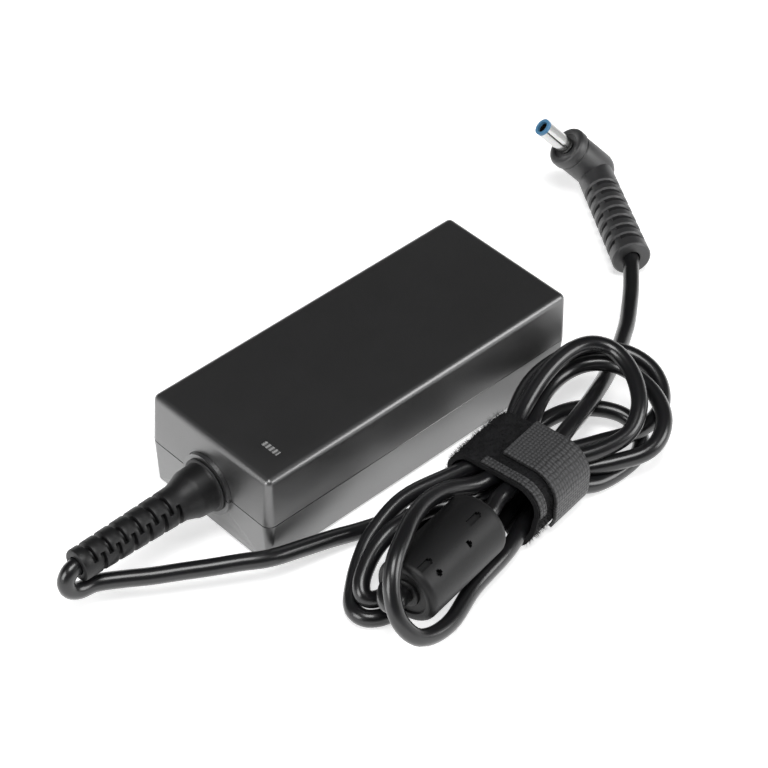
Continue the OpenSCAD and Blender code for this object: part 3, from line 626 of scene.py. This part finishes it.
def makeGrip(g):
    head = turned("plugHead", g["headProfile"], g["around"])
    soften(head, g["headEdge"], 50)
    head.data.transform(Matrix.Translation(Vector(g["cross"]) * mm)
                        @ Matrix.Rotation(math.radians(g["turn"]), 4, "Z")
                        @ Matrix.Rotation(math.radians(g["roll"]), 4, "X")
                        @ Matrix.Rotation(math.pi / 2, 4, "Z"))
    rows = list(g["neckProfile"])
    grow = (g["endRadius"] - g["neckRadius"]) / (g["length"] - g["grooveStart"])
    for i in range(g["grooves"]):
        a = g["grooveStart"] + i * g["grooveStep"]
        for step, dip in ((-g["ribRound"], 0), (0, g["ribRound"]), (g["groove"], g["ribRound"]),
                          (g["groove"] + g["ribRound"], 0)):
            rows.append((a + step, g["neckRadius"] + grow * (a + step - g["grooveStart"]) - dip))
    rows += [(g["length"] - g["lip"], g["endRadius"]), (g["length"], g["endRadius"] - g["lip"]),
             (g["length"], g["bore"]), (g["length"] - g["boreDepth"], g["boreEnd"])]
    sleeve = turned("plugSleeve", rows, g["around"])

    def inGroove(a):
        k = (a - g["grooveStart"]) / g["grooveStep"]
        return 0 <= k < g["grooves"] and (k - int(k)) * g["grooveStep"] < g["groove"]

    def onBridge(turn):
        return within(turn, g["bridgeTurn"], g["bridgeHalf"]) or within(
            turn, g["bridgeTurn"] + 180, g["bridgeHalf"])

    press(sleeve, g["grooveDepth"], lambda a, turn, r: inGroove(a) and not onBridge(turn))
    soften(sleeve, g["sleeveEdge"], 50)
    sleeve.data.transform(Matrix.Translation(Vector(g["sleeveFrom"]) * mm)
                          @ Matrix.Rotation(math.radians(g["sleeveTurn"] + 180), 4, "Z"))
    piece = joined("plugGrip", [head, sleeve])
    smooth(piece, 40)
    return piece


finishPiece(makeGrip(plugGrip), finishes["grip"], "adapter", "sleeve", "plug_grip")
print("plug grip made")

beadCover = {
    "end": (-37.6, -52.9, 12.2), "turn": 9,
    "length": 27.4, "radius": 7.9, "round": 1.6,
    # along the bead, turn about it, half length and half width
    "slots": [(3.6, -18, 2.2, 0.95), (21.4, -18, 2.2, 0.95)],
    "slotDepth": 0.9,
    # along the bead, turn about it
    "pins": [(5, -42), (16, -42)], "pinRadius": 0.75, "pinDepth": 1.6,
    # from the end's middle out: depth below the end, radius
    "endFace": [(0.9, 1.9), (0.1, 2.0), (0, 2.2), (0, 3.2), (0.15, 3.4), (0.7, 3.5), (0.7, 5.4),
                (0.15, 5.5), (0, 5.7)],
    "skin": 0.3, "rows": 56, "around": 120,
}


def makeBead(b):
    endFace = b["endFace"] + [(0, b["radius"] - b["round"])]
    arc = [(b["round"] * (1 - math.cos(t)), b["radius"] - b["round"] * (1 - math.sin(t)))
           for t in (math.radians(d) for d in (15, 30, 45, 60, 75, 90))]
    count = b["rows"]
    inside = b["length"] - 2 * b["round"]
    body = [(b["round"] + inside * i / count, b["radius"]) for i in range(1, count)]
    half = endFace + arc
    rows = half + body + [(b["length"] - a, r) for a, r in reversed(half)]
    piece = turned("beadCover", rows, b["around"])

    def inSlot(a, turn, r):
        for s, t, l, w in b["slots"]:
            x, y = a - s, math.radians((turn - t + 180) % 360 - 180) * b["radius"]
            past = max(abs(x) - (l - w), 0)
            if math.hypot(past, y) < w:
                return r > b["radius"] - b["skin"]
        return False

    def inPin(a, turn, r):
        return r > b["radius"] - b["skin"] and any(
            math.hypot(a - s, math.radians((turn - t + 180) % 360 - 180) * b["radius"])
            < b["pinRadius"] for s, t in b["pins"])

    press(piece, b["slotDepth"], inSlot)
    press(piece, b["pinDepth"], inPin)
    piece.data.transform(Matrix.Translation(Vector(b["end"]) * mm)
                         @ Matrix.Rotation(math.radians(b["turn"]), 4, "Z"))
    smooth(piece, 40)
    return piece


finishPiece(makeBead(beadCover), finishes["bead"], "adapter", "bead", "ferrite_cover")
print("bead made")

# the cord tie's own frame: X along the strands, the loop round them in Y and Z
tie = {
    "place": (9, -41, 0), "turn": 8,
    "insideWidth": 23, "insideHeight": 13.8, "corner": 5, "thickness": 1.2,
    "wrapFrom": -9, "wrapTo": 9, "crumple": 0.22, "crumpleScale": (0.35, 0.3, 0.3),
    # the wrap's lower outer corner spreads along the strands
    "flare": 3.2, "flareTop": 9, "flareStart": 4, "flareRun": 6, "flareCurve": 1.5,
    "flapGap": 0.35, "flapThickness": 0.9, "flapFrom": -3.6, "flapTo": 9.3,
    "flapReach": 1.5, "flapFoot": 2.9, "footFrom": 12, "footStep": 0.05,
    "hemFrom": -8.6, "hemTo": -6.2, "hemThickness": 0.35, "hemGap": 0.05,
    "hemStart": -4, "hemEnd": 15.5, "hemEdge": 0.1, "flapEdge": 0.15,
    "floorGap": 0.15, "facesAcross": 14, "facesRound": 110,
    "fibres": 9000, "fibreLength": (0.7, 1.7), "fibreRadius": 0.05, "seed": 7,
    "fibreRoot": 0.1, "fibresAbove": 1.3, "coveredTo": 30,
    "leanAlong": 0.8, "leanRound": 0.7, "curl": 0.3,
    "edgeBand": 0.7, "edgeLeanStart": -0.7, "edgeLeanEnd": 0.5,
}
tiePlace = (Matrix.Translation(Vector(tie["place"]) * mm)
            @ Matrix.Rotation(math.radians(tie["turn"]), 4, "Z"))


# point on the loop, grown outwards, at a distance round it from the middle of its top
def loopPoint(t, grow, away):
    w, h, r = t["insideWidth"] / 2 - t["corner"], t["insideHeight"] / 2 - t["corner"], t["corner"]
    arc = r * math.pi / 2
    whole = 4 * (w + h) + 4 * arc
    s = away % whole
    legs = [("line", (0, 1), (-1, 0), w), ("arc", (-1, 1), 90, arc),
            ("line", (-1, 1), (0, -1), 2 * h), ("arc", (-1, -1), 180, arc),
            ("line", (-1, -1), (1, 0), 2 * w), ("arc", (1, -1), 270, arc),
            ("line", (1, -1), (0, 1), 2 * h), ("arc", (1, 1), 0, arc),
            ("line", (1, 1), (-1, 0), w)]
    for kind, corner, way, length in legs:
        if s <= length or corner == (1, 1) and kind == "line":
            if kind == "arc":
                angle = math.radians(way) + s / r
                out = Vector((math.cos(angle), math.sin(angle)))
                p = Vector((corner[0] * w, corner[1] * h)) + out * (r + grow)
            else:
                out = Vector((-way[1], way[0])) * -1
                start = Vector((corner[0] * w, corner[1] * h))
                p = start + Vector(way) * s + out * (r + grow)
            return p.x, p.y + t["thickness"] + t["insideHeight"] / 2, out
        s -= length


def loopLength(t):
    w, h, r = t["insideWidth"] / 2 - t["corner"], t["insideHeight"] / 2 - t["corner"], t["corner"]
    return 4 * (w + h) + math.tau * r


# how much of the flare a place on the wrap takes, u running across it
def flareShare(t, u, y, z):
    low = max(0.0, 1 - z / t["flareTop"])
    low *= max(0.0, min(1.0, (-y - t["flareStart"]) / t["flareRun"]))
    return low * (1 - u) ** t["flareCurve"]


# a strip of tape laid round the loop, from one distance to another
def tapeStrip(name, x0, x1, s0, s1, grow, thickness, closed=False, flare=0.0, crumple=0.0):
    bpy.ops.mesh.primitive_grid_add(x_subdivisions=tie["facesAcross"],
                                    y_subdivisions=tie["facesRound"], size=1)
    piece = bpy.context.object
    piece.name = name
    piece.data.name = name
    uv = piece.data.uv_layers.active.data
    for loop in piece.data.loops:
        uv[loop.index].uv = (uv[loop.index].uv.x * (x1 - x0) * mm,
                             uv[loop.index].uv.y * (s1 - s0) * mm)
    for v in piece.data.vertices:
        u, s = v.co.x + 0.5, s0 + (v.co.y + 0.5) * (s1 - s0)
        y, z, out = loopPoint(tie, grow, s)
        x = x0 + u * (x1 - x0)
        x -= flare * flareShare(tie, u, y, z)
        scaled = [c * k for c, k in zip((x, y, z), tie["crumpleScale"])]
        lift = crumple * noise.noise(Vector(scaled))
        v.co = Vector((x, y + out.x * lift, max(z + out.y * lift, tie["floorGap"]))) * mm
    makeActive(piece)
    bpy.ops.object.mode_set(mode="EDIT")
    bpy.ops.mesh.select_all(action="SELECT")
    if closed:
        bpy.ops.mesh.remove_doubles(threshold=0.00002)
    bpy.ops.mesh.normals_make_consistent(inside=False)
    bpy.ops.object.mode_set(mode="OBJECT")
    middle = piece.data.polygons[len(piece.data.polygons) // 2]
    centre = Vector((0, 0, tie["thickness"] + tie["insideHeight"] / 2)) * mm
    facing = middle.normal.dot(middle.center - centre)
    m = piece.modifiers.new("tape", "SOLIDIFY")
    m.thickness = thickness * mm
    m.offset = -1 if facing > 0 else 1
    applyModifiers(piece)
    return piece


def makeWrap(t):
    whole = loopLength(t)
    piece = tapeStrip("tieWrap", t["wrapFrom"], t["wrapTo"], 0, whole, t["thickness"],
                      t["thickness"], True, t["flare"], t["crumple"])
    piece.data.transform(tiePlace)
    smooth(piece, 50)
    return piece


def makeHem(t):
    piece = tapeStrip("tieHem", t["hemFrom"], t["hemTo"], t["hemStart"], t["hemEnd"],
                      t["thickness"] + t["hemThickness"] + t["hemGap"], t["hemThickness"])
    piece.data.transform(tiePlace)
    soften(piece, t["hemEdge"], 50)
    smooth(piece, 40)
    return piece


def makeFlap(t):
    whole = loopLength(t)
    steps = [i * t["footStep"] for i in range(int(whole / t["footStep"]))]
    foot = next(s for s in steps
                if s > t["footFrom"] and loopPoint(t, t["thickness"], s)[1] < t["flapFoot"])
    grow = t["thickness"] + t["flapGap"] + t["flapThickness"]
    piece = tapeStrip("tieFlap", t["flapFrom"], t["flapTo"], -t["flapReach"], foot, grow,
                      t["flapThickness"])
    piece.data.transform(tiePlace)
    soften(piece, t["flapEdge"], 50)
    smooth(piece, 40)
    return piece


# one tapered fibre, copied over the wrap's outer face in one mesh
def makePile(t):
    rng = random.Random(t["seed"])
    bpy.ops.mesh.primitive_cone_add(vertices=3, radius1=t["fibreRadius"] * mm, radius2=0,
                                    depth=1, end_fill_type="NOTHING", location=(0, 0, 0))
    fibre = bpy.context.object
    makeActive(fibre)
    bpy.ops.object.mode_set(mode="EDIT")
    bpy.ops.mesh.select_all(action="SELECT")
    bpy.ops.mesh.subdivide(number_cuts=1)
    bpy.ops.object.mode_set(mode="OBJECT")
    shape = [v.co.copy() for v in fibre.data.vertices]
    faces = [tuple(p.vertices) for p in fibre.data.polygons]
    bpy.data.objects.remove(fibre)
    whole = loopLength(t)
    points, polygons = [], []
    for _ in range(t["fibres"]):
        s, x = rng.uniform(0, whole), rng.uniform(t["wrapFrom"], t["wrapTo"])
        y, z, out = loopPoint(t, t["thickness"] - t["fibreRoot"], s)
        covered = t["flapFrom"] < x and (s < t["coveredTo"] or s > whole - t["flapReach"])
        if covered or z < t["fibresAbove"]:
            continue
        u = (x - t["wrapFrom"]) / (t["wrapTo"] - t["wrapFrom"])
        x -= t["flare"] * flareShare(t, u, y, z)
        edge = 0
        if x < t["wrapFrom"] + t["edgeBand"]:
            edge = t["edgeLeanStart"]
        elif x > t["wrapTo"] - t["edgeBand"]:
            edge = t["edgeLeanEnd"]
        lean = Vector((edge + rng.uniform(-t["leanAlong"], t["leanAlong"]),
                       out.x + rng.uniform(-t["leanRound"], t["leanRound"]),
                       out.y + rng.uniform(-t["leanRound"], t["leanRound"]))).normalized()
        length = rng.uniform(*t["fibreLength"])
        turn = lean.to_track_quat("Z", "Y").to_matrix()
        bend = Vector((rng.uniform(-t["curl"], t["curl"]), rng.uniform(-t["curl"], t["curl"]), 0))
        first = len(points)
        for c in shape:
            up = c.z + 0.5
            local = Vector((c.x, c.y, up * length * mm)) + bend * (up * up * length * mm)
            points.append(turn @ local + Vector((x, y, z)) * mm)
        polygons += [tuple(first + i for i in f) for f in faces]
    mesh = bpy.data.meshes.new("tiePile")
    mesh.from_pydata(points, [], polygons)
    piece = bpy.data.objects.new("tiePile", mesh)
    bpy.context.scene.collection.objects.link(piece)
    piece.data.transform(tiePlace)
    return piece


finishPiece(makeWrap(tie), finishes["pile"], "adapter", "tie_inside", "tie_wrap")
finishPiece(makeHem(tie), finishes["hem"], "adapter", "tie_outside")
finishPiece(makePile(tie), finishes["pile"], "adapter", "tie_inside")
finishPiece(makeFlap(tie), finishes["tape"], "tab", "tie_outside", "tie_flap")
print("cord tie made")

finishPiece(dcCord, finishes["cord"], "adapter", "cord", "cord_lead", "cord_hank", "cord_bead_turn",
            "cord_in_bead", "cord_bead_exit", "cord_tail")
print("cord finished")

studio = {
    "floorRadius": 3.0,
    "floorTop": -0.0002,
    "floorSides": 96,
    "lampAim": (0.0, -0.01, 0.01),
    "wallHeight": 0.6,
    "room": 0.03,
    "paper": (0.88, 0.88, 0.88, 1),
    "glow": 0.6,
    # name, place, size, watts
    "lamps": [
        ("overhead", (-0.15, -0.2, 0.95), 0.45, 5.5),
        ("leftSoft", (-0.85, 0.1, 0.45), 0.5, 5),
        ("rightSoft", (0.55, -0.7, 0.5), 0.5, 5),
    ],
}


def glowingPaper(s):
    material, n, l = newMaterial("studioPaper")
    shader = n["Principled BSDF"]
    shader.inputs["Base Color"].default_value = s["paper"]
    shader.inputs["Roughness"].default_value = 0.9
    shader.inputs["Specular IOR Level"].default_value = 0.0
    path = n.new("ShaderNodeLightPath")
    seen = n.new("ShaderNodeMath")
    seen.operation = "MAXIMUM"
    l.new(path.outputs["Is Camera Ray"], seen.inputs[0])
    l.new(path.outputs["Is Glossy Ray"], seen.inputs[1])
    either = n.new("ShaderNodeMath")
    either.operation = "MAXIMUM"
    l.new(seen.outputs[0], either.inputs[0])
    l.new(path.outputs["Is Transmission Ray"], either.inputs[1])
    level = n.new("ShaderNodeMath")
    level.operation = "MULTIPLY"
    level.inputs[1].default_value = s["glow"]
    l.new(either.outputs[0], level.inputs[0])
    glow = n.new("ShaderNodeEmission")
    l.new(level.outputs[0], glow.inputs["Strength"])
    both = n.new("ShaderNodeAddShader")
    l.new(shader.outputs["BSDF"], both.inputs[0])
    l.new(glow.outputs["Emission"], both.inputs[1])
    l.new(both.outputs["Shader"], n["Material Output"].inputs["Surface"])
    return material


# round floor with a low upright rim, so that low views end on paper too
def buildStudio(s):
    paper = glowingPaper(s)
    deselectAll()
    bpy.ops.mesh.primitive_circle_add(vertices=s["floorSides"], radius=s["floorRadius"],
                                      fill_type="NGON", location=(0, 0, s["floorTop"]))
    floor = bpy.context.object
    floor.name = "floor"
    bpy.ops.object.mode_set(mode="EDIT")
    bpy.ops.mesh.select_mode(type="EDGE")
    bpy.ops.mesh.select_all(action="SELECT")
    bpy.ops.mesh.region_to_loop()
    bpy.ops.mesh.extrude_edges_move(TRANSFORM_OT_translate={"value": (0, 0, s["wallHeight"])})
    bpy.ops.object.mode_set(mode="OBJECT")
    floor.data.materials.append(paper)
    settle(floor)
    world = bpy.data.worlds.new("studioRoom")
    bpy.context.scene.world = world
    world.use_nodes = True
    back = world.node_tree.nodes["Background"]
    back.inputs["Color"].default_value = (1, 1, 1, 1)
    back.inputs["Strength"].default_value = s["room"]
    for name, place, size, watts in s["lamps"]:
        aim = (Vector(s["lampAim"]) - Vector(place)).to_track_quat("-Z", "Y").to_euler()
        bpy.ops.object.light_add(type="AREA", location=place, rotation=aim)
        lamp = bpy.context.object
        lamp.name = name
        lamp.data.size = size
        lamp.data.energy = watts


buildStudio(studio)
bpy.context.scene.view_settings.view_transform = "Standard"
print("studio ready")
